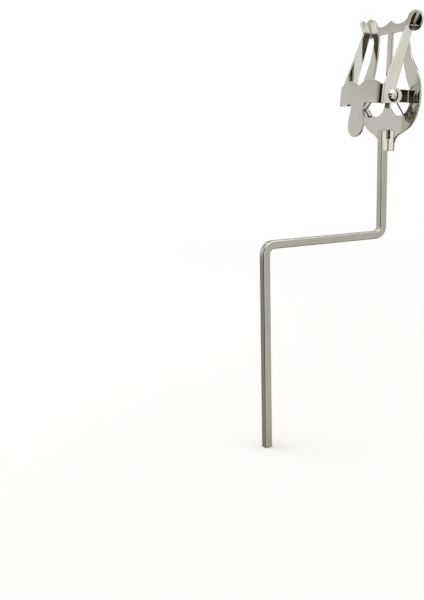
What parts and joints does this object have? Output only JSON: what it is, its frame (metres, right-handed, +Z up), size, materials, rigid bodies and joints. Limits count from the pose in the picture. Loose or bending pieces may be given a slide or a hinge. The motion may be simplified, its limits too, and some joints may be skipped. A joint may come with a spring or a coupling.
{
  "type": "clip-on music lyre",
  "caption": "Plated steel lyre on a bent square stem, with a sprung jaw that clips a music card against the lyre's horns.",
  "frame": {"origin": "centre of the stem's lower end face", "axes": "+Z up the stem's lower leg, +Y along the arm from the lower leg to the head, X across the lyre; the jaw is on the -Y side"},
  "size_m": [0.0576, 0.1, 0.2684],
  "materials": {
    "nickel_plate": "bright nickel plate",
    "braze": "nickel-plated braze, satin",
    "spring_wire": "drawn spring wire"
  },
  "bodies": {
    "lyre": {"stem_rod": "nickel_plate", "braze_fillets": "braze", "lyre_plate": "nickel_plate", "hinge_pin": "nickel_plate", "torsion_spring_right": "spring_wire", "torsion_spring_left": "spring_wire"},
    "jaw": {"clamp_jaw": "nickel_plate"}
  },
  "joints": [
    {"name": "jaw_hinge", "type": "hinge", "parent": "lyre", "child": "jaw", "pos_m": [0, 0.08041, 0.21784], "axis": [1, 0, 0], "range_deg": [0, 28], "stiffness_Nm_per_rad": 0.3, "springref_deg": -40.11, "deforming": ["torsion_spring_right", "torsion_spring_left"]}
  ]
}
